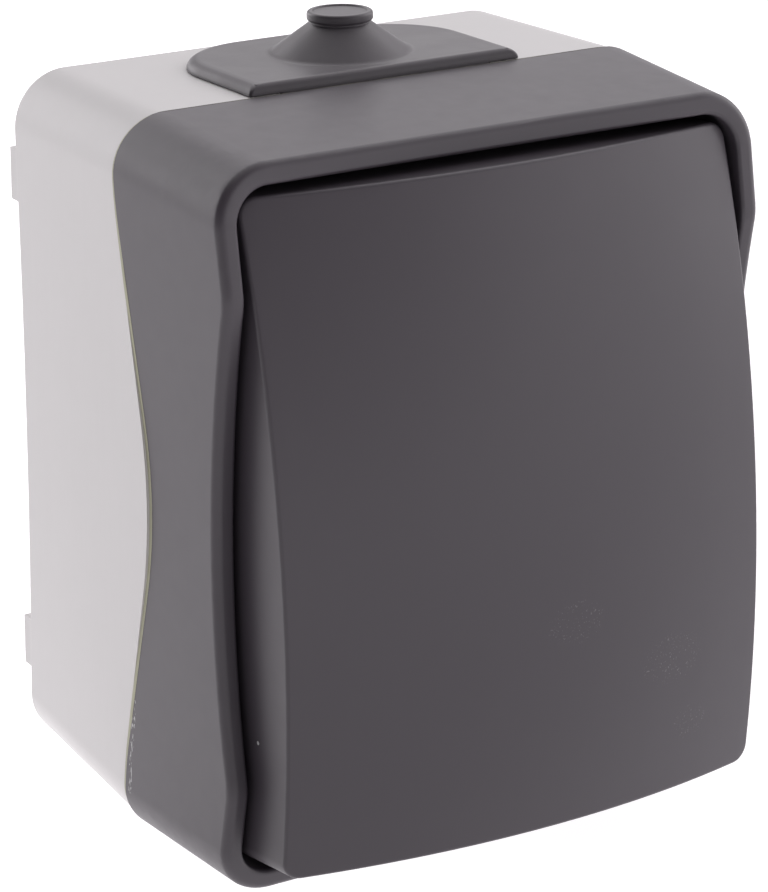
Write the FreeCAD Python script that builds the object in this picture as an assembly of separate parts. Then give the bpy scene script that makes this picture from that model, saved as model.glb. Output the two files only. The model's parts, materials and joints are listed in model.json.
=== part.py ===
import FreeCAD, Part
import math
import os

from FreeCAD import Placement, Rotation, Vector

# Surface-mounted weatherproof rocker switch, in millimetres.
# X runs to the right and Z up as seen from the front. The wall is the plane Y = 0 and the front
# faces -Y, so "out" below is a distance from the wall towards the user.

# Box and frame envelope, measured at the plane rim_out
rim_width = 66.0
rim_height = 80.2
rim_out = 29.0
corner_radius = 6.2
box_draft_deg = 2.2
frame_draft_deg = 2.0

# Wavy parting line between box and frame: flat at both ends, bulging forward along the sides
parting_end_out = 26.7
parting_bulge = 7.0
parting_flat = 2.1
parting_arc_radius = 40.0

# Deck of the frame, ahead of the parting line's bulge, with the opening for the pivot cheeks
deck_rise = 1.8
deck_wall = 2.0
deck_opening_clearance = 0.8

# Wavy front lip of the frame: two crests with a scoop between them
well_depth = 11.1
lip_crest_rise = 2.7
lip_scoop_depth = 2.7
lip_crest_inset = 13.8
lip_crest_radius = 5.0
lip_outer_fillet = 1.0
lip_inner_fillet = 0.45
lip_wall = 2.3
lip_draft_deg = 0.5

# Box shell
back_out = 1.4
back_arch = 1.2
back_fillet = 0.4
box_wall = 2.2
box_floor = 2.6
floor_fillet = 1.0

# Stand-off pads with the wall-fixing holes
fixing_spacing_x = 46.0
fixing_spacing_z = 54.6
fixing_hole_radius = 3.0
pad_disc_radius = 5.2
pad_bar_width = 5.8
pad_bar_rise = 0.6
pad_edge_inset = 0.05
pad_fillet = 0.8

# Seal and tongue between box and frame
seal_thickness = 0.5
seal_width = 1.7
seal_inset = 0.05
seal_clearance = 0.05
tongue_length = 2.5
tongue_wall = 1.2
tongue_clearance = 0.3

# Frame screws under the rocker, and the rubber ring on the deck
frame_screw_x = 12.5
frame_screw_inset = 10.6
frame_screw_radius = 1.2
frame_screw_length = 14.0
frame_boss_radius = 3.4
splash_width = 3.6
splash_height = 1.2
splash_clearance = 0.4

# Cable gland on the top wall
gland_front_gap = 0.15
gland_half_width = 16.6
gland_depth = 21.3
gland_axis_setback = 9.7
gland_rear_radius = 10.0
gland_front_radius = 0.3
gland_plate = 1.2
gland_bevel = 1.0
gland_edge = 0.45
gland_lap = 3.6
gland_flange = 1.2
gland_flange_lap = 2.0
gland_tongue_gap = 1.6
gland_clearance = 0.1
gland_nicks = [(-7.7, 0.25), (0.55, 0.45)]
cone_front_gap = 0.6
cone_slope_deg = 36.0
cone_flare_radius = 1.5
cone_top_radius = 3.3
cone_wall = 1.2
cap_neck = 0.15
cap_overhang = 0.28
cap_height = 1.1
cap_edge = 0.35
cap_rim = 0.6
cap_dish_depth = 0.15

# Rocker plate, drawn level and then tipped to its rest position
pivot_rise = 8.25
rest_tilt_deg = 7.1
rocker_side_gap = 0.62
rocker_end_gap = 1.5
rocker_deck_gap = 1.2
rocker_apex_rise = 15.2
rocker_crown_radius_x = 100.0
rocker_crown_radius_z = 160.0
rocker_draft_deg = 1.0
rocker_corner_radius = 2.0
rocker_wall = 2.0
rocker_edge_fillet = 0.5
rocker_rib_x = 17.0
rocker_rib_wall = 1.2
rocker_rib_rise = 4.0

# Inner lever, its trunnions and the clip of the rocker on its head
trunnion_radius = 2.0
trunnion_length = 2.8
trunnion_clearance = 0.05
barrel_radius = 4.0
barrel_half_length = 9.0
head_half_x = 6.0
head_half_z = 3.5
head_grip = 4.7
clip_clearance = 0.1
clip_wall = 1.9
clip_barrel_gap = 0.3
stem_radius = 4.0
stem_entry = 0.5
stem_bore_radius = 2.6
stem_bore_end = 5.5

# Plunger and spring in the stem
plunger_clearance = 0.06
plunger_nose_radius = 1.4
plunger_taper = 5.0
plunger_gap = 0.2
spring_room = 5.0
spring_wire = 0.5
spring_turns = 4
spring_clearance = 0.12

# Insert: front plate with the cheeks, and the moulded base behind it
cover_gap = 5.5
cover_plate = 2.0
cover_ear_reach = 4.5
cover_ear_radius = 5.0
cover_slot_clearance = 0.9
cheek_gap = 0.35
cheek_wall = 3.0
cheek_head_radius = 4.2
cheek_root_half_z = 6.0
insert_corner_radius = 1.5
chamber_floor_out = 13.0
chamber_half_x = 9.0
chamber_end_room = 2.0
base_floor = 4.0
base_side_wall = 3.5
base_end_wall = 2.0
insert_screw_radius = 1.2
insert_screw_length = 10.0
insert_post_radius = 3.6
support_rib_half_x = 8.0
support_rib_wall = 1.6
support_rib_z = 12.0

# Contacts and terminals
strip_thickness = 0.8
strip_half_width = 2.5
strip_clearance = 0.1
bridge_rise = 3.3
bridge_thickness = 1.0
bridge_half_x = 3.4
bridge_tilt_deg = 5.0
journal_radius = 0.8
journal_clearance = 0.05
journal_overhang = 0.5
journal_root = 0.8
upright_wall = 0.8
upright_gap = 0.5
upright_half_z = 2.0
upright_head_radius = 1.6
contact_z = 11.0
contact_radius = 1.6
contact_height = 0.7
contact_gap = 0.2
lug_x = 16.6
lug_length = 3.6
shelf_margin = 1.0
clamp_half = 2.4
clamp_thickness = 1.2
terminal_screw_radius = 1.5
terminal_screw_length = 5.0

# Screw heads and holes, shared by all the screws
head_rim = 1.1
head_height = 1.8
slot_width = 0.7
slot_depth = 0.8
screw_hole_clearance = 0.15
screw_end_room = 1.0

# Helpers of the modelling: how far a cut runs past a face, and when two places count as the same
overcut = 1.0
same_place = 1e-6
far = 2 * rim_height

# Levels and sizes that follow from the ones above
rim_half_x = rim_width / 2
rim_half_z = rim_height / 2
box_slope = math.tan(math.radians(box_draft_deg))
frame_slope = math.tan(math.radians(frame_draft_deg))
lip_slope = math.tan(math.radians(lip_draft_deg))
rocker_slope = math.tan(math.radians(rocker_draft_deg))
tilt_sin = math.sin(math.radians(rest_tilt_deg))
tilt_cos = math.cos(math.radians(rest_tilt_deg))

parting_mid_out = parting_end_out + parting_bulge
parting_half_span = rim_half_z - parting_flat
deck_out = parting_mid_out + deck_rise
deck_rear_out = deck_out - deck_wall
lip_end_out = deck_out + well_depth
lip_crest_out = lip_end_out + lip_crest_rise
lip_scoop_out = lip_crest_out - lip_scoop_depth
floor_out = back_out + back_arch + box_floor
back_half_x = rim_half_x + (back_out - rim_out) * box_slope
well_inset = (lip_scoop_out - rim_out) * frame_slope + lip_wall
well_half_x = rim_half_x - well_inset
well_half_z = rim_half_z - well_inset

gland_front_out = parting_end_out - seal_thickness / 2 - gland_front_gap
gland_axis_out = gland_front_out - gland_axis_setback
cone_foot_radius = gland_axis_setback - 2 * gland_edge - cone_front_gap

pivot_out = deck_out + pivot_rise
rocker_half_x = well_half_x - rocker_side_gap
rocker_half_z = well_half_z - rocker_end_gap
rocker_apex_out = pivot_out + rocker_apex_rise
rocker_drop = (pivot_out - deck_out - rocker_deck_gap - rocker_half_z * tilt_sin) / tilt_cos
rocker_skirt_out = pivot_out - rocker_drop
rocker_rib_out = pivot_out + rocker_rib_rise
clip_rear_out = pivot_out + barrel_radius + clip_barrel_gap
head_out = clip_rear_out + head_grip

cover_out = deck_rear_out - cover_gap
cover_rear_out = cover_out - cover_plate
stem_end_out = cover_out - stem_entry
stem_bore_out = pivot_out - stem_bore_end
plunger_back_out = stem_bore_out - spring_room
plunger_radius = stem_bore_radius - plunger_clearance
cheek_inner_x = barrel_half_length + cheek_gap
cheek_outer_x = cheek_inner_x + cheek_wall

base_back_out = chamber_floor_out - base_floor
strip_front_out = chamber_floor_out + strip_thickness
clamp_front_out = strip_front_out + clamp_thickness
bridge_axis_out = strip_front_out + bridge_rise
bridge_half_z = contact_z + contact_radius
chamber_half_z = contact_z + strip_half_width + chamber_end_room
insert_half_x = chamber_half_x + base_side_wall
insert_half_z = chamber_half_z + base_end_wall
cover_ear_z = insert_half_z + cover_ear_reach
plunger_tip_out = bridge_axis_out + bridge_thickness / 2 + plunger_gap
upright_inner_x = bridge_half_x + upright_gap
upright_outer_x = upright_inner_x + upright_wall
moving_contact_out = bridge_axis_out - bridge_thickness / 2 - contact_height
contact_swing = bridge_half_z * math.sin(math.radians(bridge_tilt_deg))
fixed_contact_out = moving_contact_out - contact_swing - contact_gap
lug_end_x = lug_x + lug_length

frame_screw_z = rim_half_z - frame_screw_inset
frame_screw_sites = [(frame_screw_x, frame_screw_z), (-frame_screw_x, -frame_screw_z)]
insert_screw_sites = [(0.0, cover_ear_z), (0.0, -cover_ear_z)]
lug_sites = [(lug_x, contact_z), (lug_x, -contact_z), (-lug_x, 0.0)]
fixing_sites = [
    (side_x * fixing_spacing_x / 2, side_z * fixing_spacing_z / 2)
    for side_x in (-1, 1)
    for side_z in (-1, 1)
]
axis_x = Vector(1, 0, 0)
forward = Vector(0, -1, 0)
pivot = Vector(0, -pivot_out, 0)
bridge_axis = Vector(0, -bridge_axis_out, 0)


def at(x, out, z):
    """Point at a distance out from the wall."""
    return Vector(x, -out, z)


def block(x0, x1, out0, out1, z0, z1):
    """Rectangular block between two corners."""
    return Part.makeBox(x1 - x0, out1 - out0, z1 - z0, at(x0, out1, z0))


def centred_block(half_x, half_z, out0, out1, x=0.0, z=0.0):
    """Rectangular block of the given half sizes between two levels."""
    return block(x - half_x, x + half_x, out0, out1, z - half_z, z + half_z)


def rod_out(radius, out0, out1, x=0.0, z=0.0):
    """Round rod square to the wall."""
    return Part.makeCylinder(radius, out1 - out0, at(x, out0, z), forward)


def rod_x(radius, x0, x1, out):
    """Round rod along X at the level out."""
    return Part.makeCylinder(radius, x1 - x0, at(x0, out, 0), axis_x)


def line(start, end):
    """Straight edge."""
    return Part.LineSegment(start, end).toShape()


def arc(start, middle, end):
    """Round edge through three points."""
    return Part.Arc(start, middle, end).toShape()


def corner_wire(corners, place):
    """Closed outline of corner arcs, each given by centre u, v, radius and start angle, joined by lines."""
    spots = []
    for u, v, radius, start_deg in corners:
        angles = [math.radians(start_deg + turn) for turn in (0, 45, 90)]
        spots.append([place(u + radius * math.cos(a), v + radius * math.sin(a)) for a in angles])
    edges = []
    for here, after in zip(spots, spots[1:] + spots[:1]):
        edges.append(arc(*here))
        edges.append(line(here[2], after[0]))
    return Part.Wire(edges)


def outline(half_x, half_z, radius, out):
    """Rounded rectangle parallel to the wall, centred on the switch."""
    u = half_x - radius
    v = half_z - radius
    corners = [(u, v, radius, 0), (-u, v, radius, 90), (-u, -v, radius, 180), (u, -v, radius, 270)]
    return corner_wire(corners, lambda x, z: at(x, out, z))


def drafted(half_x, half_z, radius, reference_out, slope, out0, out1):
    """Rounded block whose half sizes grow by slope for each millimetre out."""
    wires = []
    for out in (out0, out1):
        grow = (out - reference_out) * slope
        wires.append(outline(half_x + grow, half_z + grow, radius, out))
    return Part.makeLoft(wires, True, True)


def rim_block(inset, slope, out0, out1):
    """The envelope at rim_out, made smaller all round by inset, with the given draft."""
    radius = corner_radius - inset
    return drafted(rim_half_x - inset, rim_half_z - inset, radius, rim_out, slope, out0, out1)


def box_block(inset, out0, out1):
    """The box's outer form, made smaller all round by inset."""
    return rim_block(inset, box_slope, out0, out1)


def frame_block(inset, out0, out1):
    """The frame's outer form, made smaller all round by inset."""
    return rim_block(inset, -frame_slope, out0, out1)


def behind(edges):
    """Everything on the wall's side of a wavy line that runs up the plane X = 0."""
    first = edges[0].Vertexes[0].Point
    last = edges[-1].Vertexes[-1].Point
    close = Part.makePolygon([last, at(0, -far, last.z), at(0, -far, first.z), first])
    face = Part.Face(Part.Wire(edges + close.Edges))
    face.translate(Vector(-far, 0, 0))
    return face.extrude(Vector(2 * far, 0, 0))


def behind_parting(shift):
    """Everything behind the parting line moved out by shift.

    Each half of the line is a flat end, an arc, a common tangent and an arc about the middle.
    """
    radius = parting_arc_radius
    end = parting_end_out + shift
    mid = parting_mid_out + shift
    rise = 2 * radius - parting_bulge
    turn = math.atan2(rise, parting_half_span)
    turn += math.acos(2 * radius / math.hypot(rise, parting_half_span))

    def on_end_arc(angle):
        return parting_half_span - radius * math.cos(angle), end + radius - radius * math.sin(angle)

    inner = (radius * math.cos(turn), mid - radius + radius * math.sin(turn))
    outer = on_end_arc(turn)
    between = on_end_arc((math.pi / 2 + turn) / 2)
    low = [at(0, end, -far), at(0, end, -parting_half_span)]
    low += [at(0, out, -z) for z, out in (between, outer, inner)]
    high = [Vector(p.x, p.y, -p.z) for p in reversed(low)]
    edges = [
        line(low[0], low[1]),
        arc(low[1], low[2], low[3]),
        line(low[3], low[4]),
        arc(low[4], at(0, mid, 0), high[0]),
        line(high[0], high[1]),
        arc(high[1], high[2], high[3]),
        line(high[3], high[4]),
    ]
    return behind(edges)


def behind_lip():
    """Everything behind the frame's front lip, with its two crests rounded."""
    crest = rim_half_z - lip_crest_inset
    low_crest = at(0, lip_crest_out, -crest)
    high_crest = at(0, lip_crest_out, crest)
    solid = behind([
        line(at(0, lip_end_out, -rim_half_z), low_crest),
        arc(low_crest, at(0, lip_scoop_out, 0), high_crest),
        line(high_crest, at(0, lip_end_out, rim_half_z)),
    ])
    ridges = [e for e in solid.Edges if abs(e.CenterOfMass.y + lip_crest_out) < same_place]
    return solid.makeFillet(lip_crest_radius, ridges)


def screw(radius, length, x, out, z):
    """Slotted cheese-head screw whose head rests at out and points forward."""
    head_radius = radius + head_rim
    top = out + head_height
    body = rod_out(radius, out - length, out, x, z).fuse(rod_out(head_radius, out, top, x, z))
    groove = centred_block(slot_width / 2, head_radius, top - slot_depth, top, x, z)
    return body.cut(groove).removeSplitter()


def screws(radius, length, out, sites):
    """Like screws at several places, as one group."""
    return Part.makeCompound([screw(radius, length, x, out, z) for x, z in sites])


def clear_holes(radius, out0, out1, sites):
    """Through holes for screws of the given radius."""
    wide = radius + screw_hole_clearance
    return [rod_out(wide, out0 - overcut, out1 + overcut, x, z) for x, z in sites]


def tipped(shape):
    """The level rocker group turned about its pivot to the rest position."""
    shape.rotate(pivot, axis_x, -rest_tilt_deg)
    return shape


def pad(x, z):
    """Stand-off pad: a disc round the fixing hole and a bar that runs out to the side wall."""
    end = math.copysign(back_half_x - pad_edge_inset, x)
    top = back_out + back_arch
    half = pad_bar_width / 2
    middle = z + pad_bar_rise
    bar = block(min(x, end), max(x, end), 0, top, middle - half, middle + half)
    shape = rod_out(pad_disc_radius, 0, top, x, z).fuse(bar).removeSplitter()
    rear = [e for e in shape.Edges if all(abs(v.Y) < same_place for v in e.Vertexes)]
    return shape.makeFillet(pad_fillet, rear)


def on_top_wall(shape):
    """Moves the gland, drawn flat about its axis, onto the sloping top wall."""
    top = rim_half_z + (gland_axis_out - rim_out) * box_slope
    shape.Placement = Placement(at(0, gland_axis_out, top), Rotation(axis_x, -box_draft_deg))
    return shape


def gland_outline(side_inset, front_inset, height):
    """Plan of the gland's plate at a height over the wall, with large rear and small front corners."""
    small = gland_front_radius
    big = gland_rear_radius - side_inset
    half = gland_half_width - side_inset
    front = gland_axis_setback - front_inset
    rear = gland_axis_setback - gland_depth + side_inset
    corners = [
        (half - small, front - small, small, 0),
        (small - half, front - small, small, 90),
        (big - half, rear + big, big, 180),
        (half - big, rear + big, big, 270),
    ]
    return corner_wire(corners, lambda x, out: Vector(x, -out, height))


def gland_prism(side_inset, front_inset, low, high):
    """Straight-sided plate of the gland's plan between two heights."""
    face = Part.Face(gland_outline(side_inset, front_inset, low))
    return face.extrude(Vector(0, 0, high - low))


def make_back_box():
    """Light shell with arched back, pads, screw bosses, insert posts and the gland's slot."""
    shell = box_block(0, back_out, deck_out)
    arch_radius = (rim_half_z ** 2 + back_arch ** 2) / (2 * back_arch)
    shell = shell.cut(rod_x(arch_radius, -far, far, back_out + back_arch - arch_radius))
    back_edges = [e for e in shell.Edges if all(-v.Y < back_out + back_arch for v in e.Vertexes)]
    shell = shell.makeFillet(back_fillet, back_edges)
    hollow = box_block(box_wall, floor_out, far)
    floor_edges = [e for e in hollow.Edges if all(abs(v.Y + floor_out) < same_place for v in e.Vertexes)]
    shell = shell.cut(hollow.makeFillet(floor_fillet, floor_edges))
    shell = shell.common(behind_parting(-seal_thickness / 2))

    root = floor_out - box_floor / 2
    extras = [rod_out(frame_boss_radius, root, deck_rear_out, x, z) for x, z in frame_screw_sites]
    extras += [rod_out(insert_post_radius, root, cover_rear_out, x, z) for x, z in insert_screw_sites]
    for side in (-1, 1):
        rib_z = side * support_rib_z
        extras.append(centred_block(support_rib_half_x, support_rib_wall / 2, root, base_back_out, z=rib_z))
    extras += [pad(x, z) for x, z in fixing_sites]
    shell = shell.fuse(extras)

    holes = [rod_out(fixing_hole_radius, -overcut, floor_out + overcut, x, z) for x, z in fixing_sites]
    frame_end = deck_out - frame_screw_length - screw_end_room
    holes += [rod_out(frame_screw_radius, frame_end, deck_out, x, z) for x, z in frame_screw_sites]
    insert_end = cover_out - insert_screw_length - screw_end_room
    holes += [rod_out(insert_screw_radius, insert_end, cover_out, x, z) for x, z in insert_screw_sites]
    holes.append(on_top_wall(gland_prism(gland_lap, -far, -2 * box_wall, box_wall)))
    return shell.cut(holes).removeSplitter()


def make_box_seal():
    """Soft ring in the joint between box and frame, following the parting line."""
    half = seal_thickness / 2 - seal_clearance
    ring = frame_block(seal_inset, 0, deck_out).common(box_block(seal_inset, back_out, deck_out))
    ring = ring.cut(box_block(seal_inset + seal_width, 0, far))
    return ring.common(behind_parting(half)).cut(behind_parting(-half)).removeSplitter()


def make_cable_gland():
    """Rubber entry: bevelled plate, neck in the wall's slot, inner flange, cone and closed, dished cap."""
    foot_wire = gland_outline(0, 0, gland_clearance)
    plate = Part.makeLoft([foot_wire, gland_outline(gland_bevel, gland_edge, gland_plate)], True, True)
    rim = [e for e in plate.Edges if all(abs(v.Z - gland_plate) < same_place for v in e.Vertexes)]
    plate = plate.makeFillet(gland_edge, rim)
    under = -box_wall - gland_clearance
    low = under - gland_flange
    neck = gland_prism(gland_lap + gland_clearance, 0, under, gland_clearance)
    flange = gland_prism(gland_lap - gland_flange_lap, 0, low, under)

    slope = math.radians(cone_slope_deg)

    def on_flare(angle):
        reach = cone_foot_radius - cone_flare_radius * math.sin(angle)
        return Vector(reach, 0, gland_plate + cone_flare_radius * (1 - math.cos(angle)))

    foot = on_flare(0)
    flare_end = on_flare(slope)
    neck_height = flare_end.z + (flare_end.x - cone_top_radius) * math.tan(slope)
    top = neck_height + cap_neck
    side = Part.makePolygon([
        flare_end,
        Vector(cone_top_radius, 0, neck_height),
        Vector(cone_top_radius, 0, top),
        Vector(0, 0, top),
        Vector(0, 0, 0),
        Vector(foot.x, 0, 0),
        foot,
    ])
    profile = Part.Wire([arc(foot, on_flare(slope / 2), flare_end)] + side.Edges)
    cone = Part.Face(profile).revolve(Vector(0, 0, 0), Vector(0, 0, 1), 360)
    cap_radius = cone_top_radius + cap_overhang
    cap = Part.makeCylinder(cap_radius, cap_height, Vector(0, 0, top))
    cap = cap.makeFillet(cap_edge, [e for e in cap.Edges if e.Closed and isinstance(e.Curve, Part.Circle)])
    dish_radius = cap_radius - cap_rim
    dish = Part.makeCone(dish_radius - cap_dish_depth, dish_radius, cap_dish_depth,
                         Vector(0, 0, top + cap_height - cap_dish_depth))

    shape = plate.fuse([neck, flange, cone, cap])
    hollow = Part.makeCone(flare_end.x - cone_wall, cone_top_radius - cone_wall, top - cone_wall - low,
                           Vector(0, 0, low))
    cuts = [hollow, dish]
    cuts += [Part.makeSphere(size, Vector(x, -gland_axis_setback, gland_plate)) for x, size in gland_nicks]
    return on_top_wall(shape.cut(cuts).removeSplitter())


def make_cover_frame():
    """Dark frame: wavy lip with rounded edges, deep well, deck, and a tongue that enters the box."""
    body = frame_block(0, 0, far).common(behind_lip()).cut(behind_parting(seal_thickness / 2))
    lip_edges = []
    for e in body.Edges:
        across = abs(e.tangentAt(e.FirstParameter).y) < same_place and abs(e.CenterOfMass.x) < same_place
        ridge = across and abs(e.CenterOfMass.z) < rim_half_z - corner_radius
        if min(-v.Y for v in e.Vertexes) > deck_out and not ridge:
            lip_edges.append(e)
    body = body.makeFillet(lip_outer_fillet, lip_edges)

    well_radius = corner_radius - lip_wall
    well = drafted(well_half_x, well_half_z, well_radius, lip_scoop_out, lip_slope, deck_out, far)
    body = body.cut(well)
    inner_edges = []
    for e in body.Edges:
        middle = Part.Vertex(e.valueAt((e.FirstParameter + e.LastParameter) / 2))
        near_front = min(-v.Y for v in e.Vertexes) > deck_out + well_depth / 2
        if near_front and well.distToShape(middle)[0] < same_place:
            inner_edges.append(e)
    body = body.makeFillet(lip_inner_fillet, inner_edges)

    tongue_outer = box_wall + tongue_clearance
    tongue_inner = tongue_outer + tongue_wall
    body = body.cut(box_block(tongue_inner, 0, deck_rear_out))
    tongue = box_block(tongue_outer, 0, far).cut(box_block(tongue_inner, 0, far))
    tongue = tongue.common(behind_parting(seal_thickness)).cut(behind_parting(-tongue_length))
    gland_room = gland_half_width + gland_tongue_gap
    frame_end_out = parting_end_out + seal_thickness / 2
    tongue = tongue.cut(block(-gland_room, gland_room, 0, frame_end_out, 0, rim_half_z))
    deck = box_block(tongue_outer, deck_rear_out, deck_out)
    body = body.fuse([tongue, deck])

    half_x = cheek_outer_x + deck_opening_clearance
    half_z = cheek_root_half_z + deck_opening_clearance
    holes = clear_holes(frame_screw_radius, deck_rear_out, deck_out, frame_screw_sites)
    holes.append(centred_block(half_x, half_z, deck_rear_out - overcut, deck_out + overcut))
    return body.cut(holes).removeSplitter()


def make_frame_screws():
    """Two screws under the rocker, through the deck into the box's bosses."""
    return screws(frame_screw_radius, frame_screw_length, deck_out, frame_screw_sites)


def make_splash_seal():
    """Flat rubber ring on the deck round the opening for the cheeks."""
    half_x = cheek_outer_x + splash_clearance
    half_z = cheek_root_half_z + splash_clearance
    top = deck_out + splash_height
    ring = centred_block(half_x + splash_width, half_z + splash_width, deck_out, top)
    return ring.cut(centred_block(half_x, half_z, deck_out - overcut, top + overcut))


def dome(apex_out, crown_x, crown_z):
    """Solid under the rocker's crowned face: an arc across X swung about a far axis along X."""
    side = rocker_half_x + rocker_end_gap + well_depth
    shoulder_out = apex_out - crown_x + math.sqrt(crown_x ** 2 - side ** 2)
    low = rocker_skirt_out / 2
    crown = arc(at(-side, shoulder_out, 0), at(0, apex_out, 0), at(side, shoulder_out, 0))
    walls = Part.makePolygon([
        at(side, shoulder_out, 0),
        at(side, low, 0),
        at(-side, low, 0),
        at(-side, shoulder_out, 0),
    ])
    face = Part.Face(Part.Wire([crown] + walls.Edges))
    centre = at(0, apex_out - crown_z, 0)
    half_sweep = math.degrees(math.atan(2 * rocker_half_z / crown_z))
    face.rotate(centre, axis_x, -half_sweep)
    return face.revolve(centre, axis_x, 2 * half_sweep)


def make_rocker():
    """Crowned rocker plate with drafted skirts, stiffening ribs and the clip for the lever's head."""
    wall = rocker_wall
    above = rocker_apex_out + overcut
    below = rocker_skirt_out - overcut
    outer_dome = dome(rocker_apex_out, rocker_crown_radius_x, rocker_crown_radius_z)
    inner_dome = dome(rocker_apex_out - wall, rocker_crown_radius_x - wall, rocker_crown_radius_z - wall)
    body = drafted(rocker_half_x, rocker_half_z, rocker_corner_radius, rocker_skirt_out, -rocker_slope,
                   rocker_skirt_out, above)
    body = body.common(outer_dome)
    front = max(body.Faces, key=lambda f: -f.CenterOfMass.y)
    body = body.makeFillet(rocker_edge_fillet, front.Edges)
    hollow = drafted(rocker_half_x - wall, rocker_half_z - wall, rocker_corner_radius / 2, rocker_skirt_out,
                     -rocker_slope, below, above)
    hollow = hollow.common(inner_dome)

    pocket_x = head_half_x + clip_clearance
    pocket_z = head_half_z + clip_clearance
    core = centred_block(pocket_x + clip_wall, pocket_z + clip_wall, clip_rear_out, rocker_apex_out)
    for rib_x in (-rocker_rib_x, rocker_rib_x):
        rib = centred_block(rocker_rib_wall / 2, rocker_half_z, rocker_rib_out, rocker_apex_out, rib_x)
        core = core.fuse(rib)
    body = body.cut(hollow).fuse(core.common(hollow))
    body = body.cut(centred_block(pocket_x, pocket_z, below, head_out))
    return tipped(body.removeSplitter())


def make_toggle():
    """Inner lever: barrel with trunnions, head that carries the rocker, and the hollow stem behind."""
    trunnion_end = barrel_half_length + trunnion_length
    shape = rod_x(barrel_radius, -barrel_half_length, barrel_half_length, pivot_out)
    shape = shape.fuse([
        rod_x(trunnion_radius, -trunnion_end, trunnion_end, pivot_out),
        centred_block(head_half_x, head_half_z, pivot_out, head_out),
        rod_out(stem_radius, stem_end_out, pivot_out),
    ])
    shape = shape.cut(rod_out(stem_bore_radius, stem_end_out - overcut, stem_bore_out))
    return tipped(shape.removeSplitter())


def make_plunger():
    """Sliding nose in the stem's bore, tapered to a round tip on the contact bridge."""
    nose = plunger_nose_radius
    nose_out = plunger_tip_out + nose
    half_turn = nose * math.sqrt(0.5)
    tip = at(0, plunger_tip_out, 0)
    shoulder = at(nose, nose_out, 0)
    side = Part.makePolygon([
        shoulder,
        at(plunger_radius, plunger_tip_out + plunger_taper, 0),
        at(plunger_radius, plunger_back_out, 0),
        at(0, plunger_back_out, 0),
        tip,
    ])
    edges = [arc(tip, at(half_turn, nose_out - half_turn, 0), shoulder)] + side.Edges
    return tipped(Part.Face(Part.Wire(edges)).revolve(Vector(0, 0, 0), forward, 360))


def make_toggle_spring():
    """Round-wire spring between the plunger and the end of the bore.

    Each half turn is part of a torus on a sloping diameter, so the halves meet with the same tangent.
    """
    wire = spring_wire / 2
    radius = stem_bore_radius - wire - 2 * spring_clearance
    start_out = plunger_back_out + spring_clearance + wire
    step = (spring_room - 2 * (spring_clearance + wire)) / (2 * spring_turns)
    turns = []
    for k in range(2 * spring_turns):
        side = -1 if k % 2 else 1
        start = at(side * radius, start_out + k * step, 0)
        centre = at(0, start_out + (k + 0.5) * step, 0)
        heading = Vector(0, 0, side)
        section = Part.Face(Part.Wire(Part.makeCircle(wire, start, heading)))
        turns.append(section.revolve(centre, (start - centre).cross(heading), 180))
    return tipped(turns[0].fuse(turns[1:]).removeSplitter())


def make_insert_cover():
    """Front plate of the insert with two screw ears and the two cheeks that carry the lever."""
    plate_wire = outline(insert_half_x, insert_half_z, insert_corner_radius, cover_rear_out)
    body = Part.Face(plate_wire).extrude(forward * cover_plate)
    parts = [centred_block(cover_ear_radius, cover_ear_z, cover_rear_out, cover_out)]
    parts += [rod_out(cover_ear_radius, cover_rear_out, cover_out, x, z) for x, z in insert_screw_sites]
    for side in (-1, 1):
        inner = min(side * cheek_inner_x, side * cheek_outer_x)
        foot = Part.makePolygon([
            at(inner, cover_rear_out, -cheek_root_half_z),
            at(inner, pivot_out, -cheek_head_radius),
            at(inner, pivot_out, cheek_head_radius),
            at(inner, cover_rear_out, cheek_root_half_z),
            at(inner, cover_rear_out, -cheek_root_half_z),
        ])
        parts.append(Part.Face(foot).extrude(axis_x * cheek_wall))
        parts.append(rod_x(cheek_head_radius, inner, inner + cheek_wall, pivot_out))
    body = body.fuse(parts)

    swing = (pivot_out - stem_end_out) * tilt_sin
    half_x = stem_radius + cover_slot_clearance
    half_z = half_x + swing
    holes = clear_holes(insert_screw_radius, cover_rear_out, cover_out, insert_screw_sites)
    holes.append(centred_block(half_x, half_z, cover_rear_out - overcut, cover_out + overcut))
    holes.append(rod_x(trunnion_radius + trunnion_clearance, -far, far, pivot_out))
    return body.cut(holes).removeSplitter()


def make_insert_screws():
    """Two screws through the insert's ears into the box's posts."""
    return screws(insert_screw_radius, insert_screw_length, cover_out, insert_screw_sites)


def make_switch_base():
    """Moulded base with the contact chamber, slots for the strips and shelves under the wire lugs."""
    base_wire = outline(insert_half_x, insert_half_z, insert_corner_radius, base_back_out)
    body = Part.Face(base_wire).extrude(forward * (cover_rear_out - base_back_out))
    body = body.cut(centred_block(chamber_half_x, chamber_half_z, chamber_floor_out, cover_out))
    wide = strip_half_width + shelf_margin
    tight = strip_half_width + strip_clearance
    slot_front = strip_front_out + strip_clearance
    screw_end = clamp_front_out - terminal_screw_length - strip_clearance
    shelves = []
    cuts = []
    for x, z in lug_sites:
        end = math.copysign(lug_end_x + shelf_margin, x)
        low, high = sorted((0, end))
        shelves.append(block(low, high, base_back_out, chamber_floor_out, z - wide, z + wide))
        cuts.append(block(low, high, chamber_floor_out, slot_front, z - tight, z + tight))
        cuts.append(rod_out(terminal_screw_radius + screw_hole_clearance, screw_end, slot_front, x, z))
    return body.fuse(shelves).cut(cuts).removeSplitter()


def strip(x0, x1, z, site_x):
    """Flat brass strip on the chamber's floor, with the hole of its clamp screw."""
    shape = block(x0, x1, chamber_floor_out, strip_front_out, z - strip_half_width, z + strip_half_width)
    return shape.cut(clear_holes(terminal_screw_radius, chamber_floor_out, strip_front_out, [(site_x, z)]))


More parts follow.
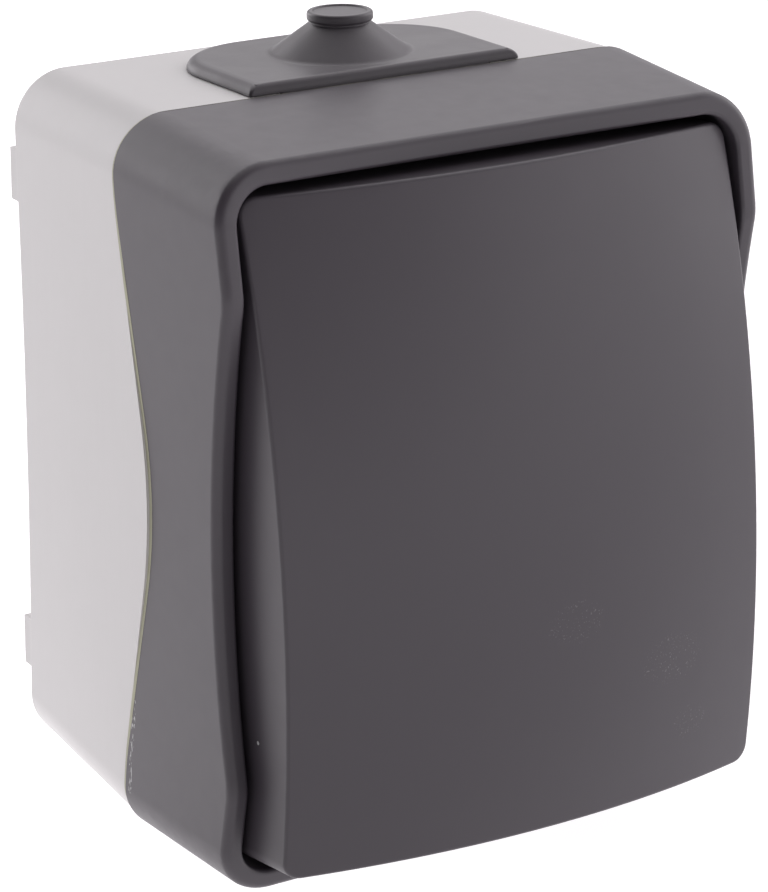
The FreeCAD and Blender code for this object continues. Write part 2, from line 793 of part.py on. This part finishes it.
def make_common_terminal():
    """Common strip with two uprights that carry the bridge's journals."""
    shape = strip(-lug_end_x, upright_outer_x, 0, -lug_x)
    parts = []
    for side in (-1, 1):
        x0, x1 = sorted((side * upright_inner_x, side * upright_outer_x))
        parts.append(block(x0, x1, chamber_floor_out, bridge_axis_out, -upright_half_z, upright_half_z))
        parts.append(rod_x(upright_head_radius, x0, x1, bridge_axis_out))
    bore = rod_x(journal_radius + journal_clearance, -far, far, bridge_axis_out)
    return shape.fuse(parts).cut(bore).removeSplitter()


def make_terminal(side):
    """Switched terminal: a strip from under its contact to its wire lug."""
    return strip(-strip_half_width, lug_end_x, side * contact_z, lug_x)


def buttons(out0, out1):
    """Two contact buttons between two levels."""
    return Part.makeCompound([rod_out(contact_radius, out0, out1, 0, side * contact_z) for side in (-1, 1)])


def at_rest(shape):
    """The level bridge turned to its rest position, closed on one contact."""
    shape.rotate(bridge_axis, axis_x, bridge_tilt_deg)
    return shape


def make_contact_bridge():
    """See-saw strip with a journal at each side."""
    half = bridge_thickness / 2
    shape = centred_block(bridge_half_x, bridge_half_z, bridge_axis_out - half, bridge_axis_out + half)
    root = bridge_half_x - journal_root
    end = upright_outer_x + journal_overhang
    journals = [rod_x(journal_radius, start, start + end - root, bridge_axis_out) for start in (root, -end)]
    return at_rest(shape.fuse(journals).removeSplitter())


def make_terminal_clamps():
    """Square clamp plates on the three wire lugs."""
    plates = []
    for x, z in lug_sites:
        plate = centred_block(clamp_half, clamp_half, strip_front_out, clamp_front_out, x, z)
        hole = clear_holes(terminal_screw_radius, strip_front_out, clamp_front_out, [(x, z)])
        plates.append(plate.cut(hole))
    return Part.makeCompound(plates)


nodes = {
    "back_box": make_back_box(),
    "box_seal": make_box_seal(),
    "cable_gland": make_cable_gland(),
    "cover_frame": make_cover_frame(),
    "frame_screws": make_frame_screws(),
    "splash_seal": make_splash_seal(),
    "rocker": make_rocker(),
    "toggle": make_toggle(),
    "plunger": make_plunger(),
    "toggle_spring": make_toggle_spring(),
    "insert_cover": make_insert_cover(),
    "insert_screws": make_insert_screws(),
    "switch_base": make_switch_base(),
    "common_terminal": make_common_terminal(),
    "terminal_one": make_terminal(1),
    "terminal_two": make_terminal(-1),
    "fixed_contacts": buttons(strip_front_out, fixed_contact_out),
    "contact_bridge": make_contact_bridge(),
    "moving_contacts": at_rest(buttons(moving_contact_out, bridge_axis_out - bridge_thickness / 2)),
    "terminal_clamps": make_terminal_clamps(),
    "terminal_screws": screws(terminal_screw_radius, terminal_screw_length, clamp_front_out, lug_sites),
}

os.makedirs("parts", exist_ok=True)
for name, shape in nodes.items():
    shape.exportStep("parts/" + name + ".step")
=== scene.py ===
import json
import math

import bpy
import numpy as np
from mathutils import Matrix, Vector


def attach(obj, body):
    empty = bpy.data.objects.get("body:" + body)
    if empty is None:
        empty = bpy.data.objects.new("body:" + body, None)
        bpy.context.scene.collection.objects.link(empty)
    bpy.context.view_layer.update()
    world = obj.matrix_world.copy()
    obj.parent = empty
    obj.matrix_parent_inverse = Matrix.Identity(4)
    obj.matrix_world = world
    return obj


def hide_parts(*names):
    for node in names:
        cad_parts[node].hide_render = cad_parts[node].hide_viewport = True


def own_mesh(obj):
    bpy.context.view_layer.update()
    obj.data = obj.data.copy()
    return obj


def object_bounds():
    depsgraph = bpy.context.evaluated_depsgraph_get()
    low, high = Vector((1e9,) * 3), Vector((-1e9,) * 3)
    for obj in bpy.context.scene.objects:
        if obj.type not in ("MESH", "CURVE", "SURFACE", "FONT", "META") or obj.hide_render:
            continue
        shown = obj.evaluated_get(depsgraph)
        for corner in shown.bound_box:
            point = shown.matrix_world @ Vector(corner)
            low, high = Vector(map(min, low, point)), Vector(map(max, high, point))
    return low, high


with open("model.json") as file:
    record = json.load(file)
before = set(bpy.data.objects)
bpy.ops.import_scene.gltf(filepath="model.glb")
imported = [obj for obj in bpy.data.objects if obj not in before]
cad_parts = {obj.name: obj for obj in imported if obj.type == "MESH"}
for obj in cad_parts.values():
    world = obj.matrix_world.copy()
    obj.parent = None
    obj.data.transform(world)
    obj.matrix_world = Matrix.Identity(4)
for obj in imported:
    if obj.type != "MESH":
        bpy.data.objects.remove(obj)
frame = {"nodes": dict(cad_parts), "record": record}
cad_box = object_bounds()
MM = 0.001


def add_object(name, data):
    """Puts a mesh or a camera into the scene, at the origin."""
    made = bpy.data.objects.new(name, data)
    bpy.context.scene.collection.objects.link(made)
    return made


# The photograph's viewpoint: a long lens, above and to the left of the front
IMAGE_HEIGHT_PX = 892
FOCAL_LENGTH_PX = 3693.5
CAMERA_PLACE_MM = (-197.54, -349.71, 138.05)
CAMERA_AZIMUTH_DEG = -31.396
CAMERA_ELEVATION_DEG = 20.199
CAMERA_ROLL_DEG = 0.350
SENSOR_MM = 36.0


def place_camera():
    """Camera whose back axis comes from azimuth and elevation, turned by a small roll about it."""
    azimuth = math.radians(CAMERA_AZIMUTH_DEG)
    elevation = math.radians(CAMERA_ELEVATION_DEG)
    flat = math.cos(elevation)
    back = Vector((math.sin(azimuth) * flat, -math.cos(azimuth) * flat, math.sin(elevation)))
    right = Vector((0, 0, 1)).cross(back).normalized()
    turn = Matrix((right, back.cross(right), back)).transposed()
    turn = turn @ Matrix.Rotation(math.radians(CAMERA_ROLL_DEG), 3, "Z")
    data = bpy.data.cameras.new("photo_camera")
    data.sensor_fit = "VERTICAL"
    data.sensor_height = SENSOR_MM
    data.lens = FOCAL_LENGTH_PX * SENSOR_MM / IMAGE_HEIGHT_PX
    camera = add_object("photo_camera", data)
    camera.matrix_world = Matrix.Translation(Vector(CAMERA_PLACE_MM) * MM) @ turn.to_4x4()
    bpy.context.scene.camera = camera


# Shader maths


class Value:
    """A node's output that takes part in Python expressions: each operator adds one Math node."""

    def __init__(self, finish, socket):
        self.finish = finish
        self.socket = socket

    def maths(self, operation, first, second):
        return self.finish.node("Math", {"operation": operation}, {0: first, 1: second})

    def __add__(self, other):
        return self.maths("ADD", self, other)

    def __radd__(self, other):
        return self.maths("ADD", other, self)

    def __sub__(self, other):
        return self.maths("SUBTRACT", self, other)

    def __rsub__(self, other):
        return self.maths("SUBTRACT", other, self)

    def __mul__(self, other):
        return self.maths("MULTIPLY", self, other)

    def __rmul__(self, other):
        return self.maths("MULTIPLY", other, self)

    def __gt__(self, other):
        return self.maths("GREATER_THAN", self, other)

    def __lt__(self, other):
        return self.maths("LESS_THAN", self, other)


class Finish:
    """The nodes of one material, or of the studio's surround, and the shader that they feed."""

    def __init__(self, name, store=bpy.data.materials, shader="Principled BSDF"):
        self.material = store.new(name)
        self.material.use_nodes = True
        self.tree = self.material.node_tree
        self.shader = self.tree.nodes[shader]

    def node(self, kind, settings, sockets, output=0):
        """Adds a shader node: its settings first, then the values or links of its sockets."""
        made = self.tree.nodes.new("ShaderNode" + kind)
        for name, value in settings.items():
            setattr(made, name, value)
        for key, value in sockets.items():
            self.feed(made.inputs[key], value)
        return Value(self, made.outputs[output])

    def feed(self, socket, value):
        """Links a Value to a socket, or sets a constant on it."""
        if isinstance(value, Value):
            self.tree.links.new(value.socket, socket)
        else:
            socket.default_value = value

    def set(self, **sockets):
        """Feeds the shader, with underscores for the blanks in its socket names."""
        for name, value in sockets.items():
            self.feed(self.shader.inputs[name.replace("_", " ")], value)

    def place(self):
        """Object coordinates, which are metres in the part's own frame."""
        return self.node("TexCoord", {}, {}, "Object")

    def axes(self):
        """The three Object coordinates as separate Values."""
        return [self.node("SeparateXYZ", {}, {0: self.place()}, axis) for axis in range(3)]

    def noise(self, size, detail=2.0, stretch=(1, 1, 1)):
        """Noise from 0 to 1 with lumps about size metres across, drawn out along each axis by its stretch."""
        scale = [1 / factor for factor in stretch]
        where = self.node("Mapping", {}, {"Vector": self.place(), "Scale": scale})
        return self.node("TexNoise", {}, {"Vector": where, "Scale": 1 / size, "Detail": detail})

    def ramp(self, value, low, high):
        """0 below low, 1 above high, smooth between."""
        ends = {"From Min": low, "From Max": high, "Value": value}
        return self.node("MapRange", {"interpolation_type": "SMOOTHSTEP"}, ends)

    def mix(self, factor, first, second):
        """Mixes two colours."""
        return self.node("Mix", {"data_type": "RGBA"}, {0: factor, 6: first, 7: second}, 2)

    def relief(self, height, depth):
        """Bump of the given depth in metres, fed to the shader's normal."""
        self.set(Normal=self.node("Bump", {}, {"Height": height, "Distance": depth, "Strength": 1.0}))


def rgb(red, green, blue):
    """A linear colour with full alpha."""
    return (red, green, blue, 1.0)


def shade(colour, factor):
    """The same colour, lighter or darker."""
    return rgb(*[min(1.0, channel * factor) for channel in colour[:3]])


FLECK_GREY = rgb(0.55, 0.55, 0.55)
LIGHT_GREY = rgb(0.600, 0.588, 0.583)
DARK_GREY = rgb(0.0600, 0.0520, 0.0620)
GLAND_GREY = rgb(0.068, 0.060, 0.069)
OLIVE = rgb(0.42, 0.415, 0.305)
BLACK = rgb(0.018, 0.018, 0.018)
# painted shade: the dark colour laid on the seal's upward faces for the shade in the gap between box and
# frame
PAINTED_GAP_SHADE = rgb(0.045, 0.042, 0.045)
OFF_WHITE = rgb(0.72, 0.71, 0.67)
BASE_GREY = rgb(0.38, 0.38, 0.36)
BRASS = rgb(0.72, 0.50, 0.20)
SILVER = rgb(0.80, 0.79, 0.76)
ZINC = rgb(0.60, 0.60, 0.62)
WIRE_GREY = rgb(0.45, 0.45, 0.46)

# Moulded plastic
GRAIN_SIZE = 0.16 * MM
GRAIN_DEPTH = 0.003 * MM
MOTTLE_SIZE = 14 * MM
SCUFF_SIZE = 2.2 * MM
STREAK_SIZE = 0.5 * MM
STREAK_STRETCH = (1, 1, 40)
STREAK_SHARE = 0.3
RUB_ROUGHNESS = 0.08
PLASTIC_IOR = 1.49


def moulded(name, colour, roughness, mottle=0.03, marks=None):
    """Satin moulded plastic: fine grain, faint flow mottle, upright polishing streaks and rubbed patches.

    marks, if given, takes the finish and returns where small light flecks lie, from 0 to 1.
    """
    finish = Finish(name)
    streaks = finish.noise(STREAK_SIZE, stretch=STREAK_STRETCH)
    flow = finish.noise(MOTTLE_SIZE, detail=3.0) * (1 - STREAK_SHARE) + streaks * STREAK_SHARE
    rub = finish.noise(SCUFF_SIZE, detail=4.0) - 0.5
    tone = finish.mix(flow, shade(colour, 1 - mottle), shade(colour, 1 + mottle))
    if marks:
        tone = finish.mix(marks(finish), tone, FLECK_GREY)
    finish.set(Base_Color=tone, Roughness=roughness + rub * RUB_ROUGHNESS, IOR=PLASTIC_IOR)
    finish.relief(finish.noise(GRAIN_SIZE), GRAIN_DEPTH)
    return finish


# Moulded rubber, whose flat faces are those with an upward share of their normal in the flat span
FLAT_SPAN = (0.93, 0.985)
BLOOM_SIZE = 5 * MM
BLOOM_SPAN = (0.35, 0.75)
BLOOM_SHADES = (0.94, 1.08)
BLOOM_ROUGHNESS = 0.08
DUST_AND_PAINTED_LIGHT_UNEVEN = 0.25
RUBBER_GRAIN_SIZE = 0.25 * MM
RUBBER_LUMP_SIZE = 2.5 * MM
RUBBER_LUMP_SHARE = 3.0
RUBBER_DEPTH = 0.006 * MM
RUBBER_IOR = 1.45


def rubber(name, colour, roughness, dust=None):
    """Moulded rubber: a little uneven, with a soft coarse grain.

    dust, if given, is the share and the colour painted on the faces that lie flat: on the gland, dust and a
    painted sheen that lightens its tops; on the seal, painted shade of the gap between box and frame.
    """
    finish = Finish(name)
    bloom = finish.ramp(finish.noise(BLOOM_SIZE, detail=4.0), *BLOOM_SPAN)
    tone = finish.mix(bloom, *[shade(colour, factor) for factor in BLOOM_SHADES])
    if dust:
        share, dust_and_painted_light_colour = dust
        normal = finish.node("NewGeometry", {}, {}, "Normal")
        flat = finish.ramp(finish.node("SeparateXYZ", {}, {0: normal}, 2), *FLAT_SPAN)
        # the flat faces are painted: dust and a painted sheen on the gland's tops, painted shade on the
        # seal's top
        tone = finish.mix(flat * (1 - DUST_AND_PAINTED_LIGHT_UNEVEN + bloom * DUST_AND_PAINTED_LIGHT_UNEVEN) * share, tone, dust_and_painted_light_colour)
    finish.set(Base_Color=tone, Roughness=roughness + bloom * BLOOM_ROUGHNESS, IOR=RUBBER_IOR)
    lumps = finish.noise(RUBBER_LUMP_SIZE, detail=1.0) * RUBBER_LUMP_SHARE
    finish.relief(finish.noise(RUBBER_GRAIN_SIZE, detail=3.0) + lumps, RUBBER_DEPTH)
    return finish


# Metal
LINE_SIZE = 0.08 * MM
LINE_STRETCH = (20, 1, 1)
LINE_DEPTH = 0.002 * MM
TARNISH_SIZE = 1.5 * MM
TARNISH_SPAN = (0.45, 0.8)
TARNISH_SHADE = 0.82
TARNISH_ROUGHNESS = 0.06


def metal(name, colour, roughness, streak):
    """Drawn or plated metal: streaks along X and a fine tarnish."""
    finish = Finish(name)
    lines = finish.noise(LINE_SIZE, stretch=LINE_STRETCH)
    tarnish = finish.ramp(finish.noise(TARNISH_SIZE, detail=3.0), *TARNISH_SPAN)
    finish.set(
        Base_Color=finish.mix(tarnish, colour, shade(colour, TARNISH_SHADE)),
        Roughness=roughness + lines * streak + tarnish * TARNISH_ROUGHNESS,
        Metallic=1.0,
    )
    finish.relief(lines, LINE_DEPTH)
    return finish


# Small marks on the dark plastic, in millimetres: dusty patches on the rocker's face by middle x, middle z
# and half sizes; a nick on its left wall by y and z; and torn flash along the frame's rear edge at the lower
# left, on a line between two points given by z and distance from the wall. Peaks are the noise levels between
# which a fleck fades in.
DUST_PATCHES = [(2.9, -10.7, 4.0, 2.6), (16.0, -18.0, 4.8, 3.2), (19.0, -26.3, 2.7, 2.3)]
DUST_SIZE = 0.22
DUST_FRONT_OUT = 55.0
DUST_FADE = 0.5
DUST_PEAKS = (0.60, 0.72)
DUST_STRENGTH = 0.16
NICK_PLACE = (-49.8, -20.8)
NICK_LEFT_X = -27.0
NICK_RADIUS = 0.22
NICK_STRENGTH = 0.8
FLASH_LEFT_X = -32.4
FLASH_TOP = (-23.0, 29.55)
FLASH_BOTTOM = (-34.5, 27.95)
FLASH_HALF_WIDTH = 0.42
FLASH_SIZE = 0.26
FLASH_STRETCH = (1, 1, 3)
FLASH_FADE = 0.6
FLASH_PEAKS = (0.55, 0.62)
FLASH_STRENGTH = 0.75


def dark_marks(finish):
    """Light flecks of the dark plastic: noise peaks in the dusty patches and the flash, and one nick."""
    x, y, z = [axis * (1 / MM) for axis in finish.axes()]
    near = 0.0
    for middle_x, middle_z, half_x, half_z in DUST_PATCHES:
        across = (x - middle_x) * (1 / half_x)
        up = (z - middle_z) * (1 / half_z)
        near = near + finish.ramp(1.0 - across * across - up * up, 0.0, DUST_FADE)
    front = y < -DUST_FRONT_OUT
    specks = finish.ramp(finish.noise(DUST_SIZE * MM, detail=3.0), *DUST_PEAKS)
    dust = specks * near * front * DUST_STRENGTH

    slope = (FLASH_TOP[1] - FLASH_BOTTOM[1]) / (FLASH_TOP[0] - FLASH_BOTTOM[0])
    line_out = FLASH_BOTTOM[1] + (z - FLASH_BOTTOM[0]) * slope
    ahead = (0.0 - y - line_out) * (1 / FLASH_HALF_WIDTH)
    strip = finish.ramp(1.0 - ahead * ahead, 0.0, FLASH_FADE) * (x < FLASH_LEFT_X)
    strip = strip * (z > FLASH_BOTTOM[0]) * (z < FLASH_TOP[0])
    shreds = finish.ramp(finish.noise(FLASH_SIZE * MM, stretch=FLASH_STRETCH), *FLASH_PEAKS)
    flash = shreds * strip * FLASH_STRENGTH

    along = y - NICK_PLACE[0]
    above = z - NICK_PLACE[1]
    nick = (along * along + above * above < NICK_RADIUS * NICK_RADIUS) * (x < NICK_LEFT_X)
    return dust + flash + nick * NICK_STRENGTH


finishes = {
    "light_shell": moulded("light_shell", LIGHT_GREY, roughness=0.42),
    "dark_shell": moulded("dark_shell", DARK_GREY, roughness=0.40, marks=dark_marks),
    # the gland's upward faces are lightened: dust together with a painted sheen
    "gland_rubber": rubber("gland_rubber", GLAND_GREY, roughness=0.36, dust=(0.10, FLECK_GREY)),
    # painted shade: the seal's upward faces are darkened to the shade of the gap along the top joint between
    # box and frame
    "olive_seal": rubber("olive_seal", OLIVE, roughness=0.70, dust=(1.0, PAINTED_GAP_SHADE)),
    "black_rubber": rubber("black_rubber", BLACK, roughness=0.60),
    "white_moulding": moulded("white_moulding", OFF_WHITE, roughness=0.45),
    "base_moulding": moulded("base_moulding", BASE_GREY, roughness=0.55),
    "strip_brass": metal("strip_brass", BRASS, roughness=0.28, streak=0.12),
    "contact_metal": metal("contact_metal", SILVER, roughness=0.22, streak=0.08),
    "screw_steel": metal("screw_steel", ZINC, roughness=0.30, streak=0.12),
    "spring_steel": metal("spring_steel", WIRE_GREY, roughness=0.32, streak=0.10),
}
slot_of = {part["node"]: part["material_slot"] for part in frame["record"]["subparts"]}

# Solid pieces: points closer than the weld distance are merged, edges sharper than the crease angle stay
# crisp, the seal swells a little, and the gland's edges over an angle are rounded
WELD_DISTANCE = 0.0005 * MM
CREASE_DEG = 32
SEAL_SWELL = 0.10 * MM
GLAND_EDGE_DEG = 25
GLAND_EDGE_WIDTH = 0.42 * MM
GLAND_EDGE_STEPS = 4


def crease_group():
    """Geometry nodes that shade every face smooth and every edge over the crease angle sharp."""
    group = bpy.data.node_groups.new("crease_by_angle", "GeometryNodeTree")
    group.interface.new_socket("Geometry", in_out="INPUT", socket_type="NodeSocketGeometry")
    group.interface.new_socket("Geometry", in_out="OUTPUT", socket_type="NodeSocketGeometry")
    start = group.nodes.new("NodeGroupInput")
    end = group.nodes.new("NodeGroupOutput")
    smooth = group.nodes.new("GeometryNodeSetShadeSmooth")
    crisp = group.nodes.new("GeometryNodeSetShadeSmooth")
    crisp.domain = "EDGE"
    crisp.inputs["Shade Smooth"].default_value = False
    angle = group.nodes.new("GeometryNodeInputMeshEdgeAngle")
    wide = group.nodes.new("FunctionNodeCompare")
    wide.inputs["B"].default_value = math.radians(CREASE_DEG)
    group.links.new(start.outputs[0], smooth.inputs["Geometry"])
    group.links.new(smooth.outputs[0], crisp.inputs["Geometry"])
    group.links.new(angle.outputs["Unsigned Angle"], wide.inputs["A"])
    group.links.new(wide.outputs["Result"], crisp.inputs["Selection"])
    group.links.new(crisp.outputs[0], end.inputs[0])
    return group


def finish_nodes(creases):
    """Gives every solid its finish and clean shading, swells the seal and rounds the gland's edges."""
    for name, solid in frame["nodes"].items():
        solid.data.materials.clear()
        solid.data.materials.append(finishes[slot_of[name]].material)
        solid.modifiers.new("weld", "WELD").merge_threshold = WELD_DISTANCE
        if name == "box_seal":
            swell = solid.modifiers.new("swell", "DISPLACE")
            swell.strength = SEAL_SWELL
            swell.mid_level = 0.0
        if name == "cable_gland":
            edge = solid.modifiers.new("soft_edge", "BEVEL")
            edge.limit_method = "ANGLE"
            edge.angle_limit = math.radians(GLAND_EDGE_DEG)
            edge.width = GLAND_EDGE_WIDTH
            edge.segments = GLAND_EDGE_STEPS
        solid.modifiers.new("crease", "NODES").node_group = creases
        solid.modifiers.new("flat_faces", "WEIGHTED_NORMAL").keep_sharp = True


# Soft edge of the gland's plate, in millimetres: the plate's place and lean on the top wall, its plan, and
# how far the edge rolls in from the sides and the front and up from the wall before it fades into the top
PLATE_PLACE = (0.0, -16.6, 39.624)
PLATE_LEAN_DEG = -2.2
PLATE_HALF_WIDTH = 16.6
PLATE_FRONT = 9.7
PLATE_REAR = 11.6
PLATE_REAR_RADIUS = 10.0
PLATE_FRONT_RADIUS = 0.3
ROLL_SIDE = 1.5
ROLL_FRONT = 0.8
ROLL_CORNER = 0.6
ROLL_FOOT = 0.1
ROLL_RISE = 1.13
ROLL_FADE = 0.7
ROLL_FADE_HEIGHT = 1.19
ROLL_INNER_FOOT = 0.12
ROLL_STEPS = 14
CORNER_STEPS = 24
CORNER_STARTS_DEG = (-90, 0, 90, 180)


def rolled_levels():
    """Points of the soft edge, level by level from the wall up.

    The plate's plan is drawn in along a quarter ellipse as it rises, fades to just under the plate's top and
    ends inside the plate. Each level is four corner arcs, front right first, joined by straight runs.
    """
    rise = np.linspace(0, np.pi / 2, ROLL_STEPS)
    share = np.append(1 - np.cos(rise), [1, 1])
    fade = np.append(np.zeros(ROLL_STEPS), [ROLL_FADE, ROLL_FADE])
    height = np.append(ROLL_FOOT + ROLL_RISE * np.sin(rise), [ROLL_FADE_HEIGHT, ROLL_INNER_FOOT])
    side_inset = ROLL_SIDE * share + fade
    front_inset = ROLL_FRONT * share + fade
    small = PLATE_FRONT_RADIUS + ROLL_CORNER * share
    big = PLATE_REAR_RADIUS - side_inset
    front_y = small + front_inset - PLATE_FRONT
    rear_y = PLATE_REAR - side_inset - big
    radius = np.stack([small, big, big, small], axis=1)
    middle_x = (PLATE_HALF_WIDTH - side_inset[:, None] - radius) * np.array([1, 1, -1, -1])
    middle_y = np.stack([front_y, rear_y, rear_y, front_y], axis=1)
    sweep = np.radians(np.add.outer(CORNER_STARTS_DEG, np.linspace(0, 90, CORNER_STEPS)))
    levels = len(height)
    x = (middle_x[:, :, None] + radius[:, :, None] * np.cos(sweep)).reshape(levels, -1)
    y = (middle_y[:, :, None] + radius[:, :, None] * np.sin(sweep)).reshape(levels, -1)
    z = np.broadcast_to(height[:, None], x.shape)
    cosine = math.cos(math.radians(PLATE_LEAN_DEG))
    sine = math.sin(math.radians(PLATE_LEAN_DEG))
    leaning = np.stack([x, y * cosine - z * sine, y * sine + z * cosine], axis=-1)
    return (leaning + PLATE_PLACE) * MM


def rolled_edge(creases):
    """Soft edge fitted over the gland's plate: a closed ring of faces, level to level and round each one."""
    points = rolled_levels()
    index = np.arange(points.size // 3).reshape(points.shape[:2])
    ahead = np.roll(index, -1, axis=1)
    faces = np.stack([index, ahead, np.roll(ahead, -1, axis=0), np.roll(index, -1, axis=0)], axis=-1)
    mesh = bpy.data.meshes.new("rolled_gland_edge")
    mesh.from_pydata(points.reshape(-1, 3), [], faces.reshape(-1, 4).tolist())
    mesh.materials.append(finishes["gland_rubber"].material)
    edge = add_object("rolled_gland_edge", mesh)
    edge.modifiers.new("crease", "NODES").node_group = creases
    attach(edge, "housing")


def squeezed_spring():
    """Copy of the spring that rides on the rocker."""
    solid = frame["nodes"]["toggle_spring"]
    mesh = solid.data.copy()
    mesh.transform(solid.matrix_world)
    spring = add_object("squeezed_spring", mesh)
    for modifier in solid.modifiers:
        twin = spring.modifiers.new(modifier.name, modifier.type)
        if modifier.type == "WELD":
            twin.merge_threshold = WELD_DISTANCE
        if modifier.type == "NODES":
            twin.node_group = modifier.node_group
    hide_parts("toggle_spring")
    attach(spring, "rocker")
    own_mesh(spring)


# Studio: the floor lies a little below the part
FLOOR_DROP = 0.4 * MM
FLOOR_HALF = 6.0
FLOOR_GREY = 0.25
FLOOR_ROUGHNESS = 0.9
LIGHT_TINT = (1.0, 0.972, 1.0)

# Glow of the floor behind the part, to its left and right, and ahead of it, near and far
GLOW_LEFT = 1.33
GLOW_RIGHT = 0.98
GLOW_NEAR = 0.78
GLOW_FAR = 1.2
SIDE_SPAN = 40 * MM
FRONT_SPAN = (-75 * MM, -45 * MM)
FAR_SPAN = (-260 * MM, -180 * MM)


def tinted(finish, strength):
    """Light of the studio's tint at a strength."""
    return finish.node("VectorMath", {"operation": "SCALE"}, {0: LIGHT_TINT, "Scale": strength})


def studio_floor(floor_z):
    """Plain pale floor: one square that glows, less so ahead of the part, so that shadows stay faint."""
    x, y = np.meshgrid([-FLOOR_HALF, FLOOR_HALF], [-FLOOR_HALF, FLOOR_HALF])
    points = np.stack([x, y, np.full(x.shape, floor_z)], axis=-1).reshape(-1, 3)
    mesh = bpy.data.meshes.new("studio_floor")
    mesh.from_pydata(points, [], [(0, 1, 3, 2)])
    paper = Finish("studio_paper")
    across, along, _ = paper.axes()
    view = math.radians(CAMERA_AZIMUTH_DEG)
    right = across * math.cos(view) + along * math.sin(view)
    depth = along * math.cos(view) - across * math.sin(view)
    back = GLOW_LEFT + (GLOW_RIGHT - GLOW_LEFT) * paper.ramp(right, -SIDE_SPAN, SIDE_SPAN)
    front = GLOW_FAR + (GLOW_NEAR - GLOW_FAR) * paper.ramp(depth, *FAR_SPAN)
    glow = front + (back - front) * paper.ramp(depth, *FRONT_SPAN)
    paper.set(Base_Color=rgb(FLOOR_GREY, FLOOR_GREY, FLOOR_GREY), Roughness=FLOOR_ROUGHNESS)
    paper.set(Emission_Color=tinted(paper, glow), Emission_Strength=1.0)
    mesh.materials.append(paper.material)
    add_object("studio_floor", mesh)


# Soft round light panels: the direction of each one's middle from the part, and its strength
PANELS = [
    ((-0.38, 0.92, 0.12), 3.12),
    ((0.38, 0.92, 0.12), 0.62),
    ((0.75, 0.65, 0.12), 0.12),
    ((1.00, 0.00, 0.12), 2.20),
    ((0.75, -0.65, 0.12), 1.44),
    ((0.10, -1.00, 0.05), 0.65),
    ((0.70, 0.10, 0.70), 1.30),
    ((0.60, 0.55, 0.58), 0.99),
    ((0.00, 0.70, 0.75), 1.58),
    ((0.60, -0.50, 0.60), 0.60),
    ((0.00, 0.00, 1.00), 0.89),
]
PANEL_INNER_DEG = 8
PANEL_OUTER_DEG = 34


def light_studio():
    """Dark surround with light panels, each of which fades smoothly between two angles from its middle."""
    tent = Finish("light_tent", bpy.data.worlds, "Background")
    direction = tent.node("TexCoord", {}, {}, "Generated")
    inner = math.cos(math.radians(PANEL_INNER_DEG))
    outer = math.cos(math.radians(PANEL_OUTER_DEG))
    light = 0.0
    for place, strength in PANELS:
        dot = {"operation": "DOT_PRODUCT"}
        facing = tent.node("VectorMath", dot, {0: direction, 1: Vector(place).normalized()}, "Value")
        light = light + strength * tent.ramp(facing, outer, inner)
    tent.set(Color=tinted(tent, light), Strength=1.0)
    bpy.context.scene.world = tent.material
    bpy.context.scene.view_settings.view_transform = "Standard"


place_camera()
creases = crease_group()
finish_nodes(creases)
rolled_edge(creases)
squeezed_spring()
studio_floor(cad_box[0].z - FLOOR_DROP)
light_studio()
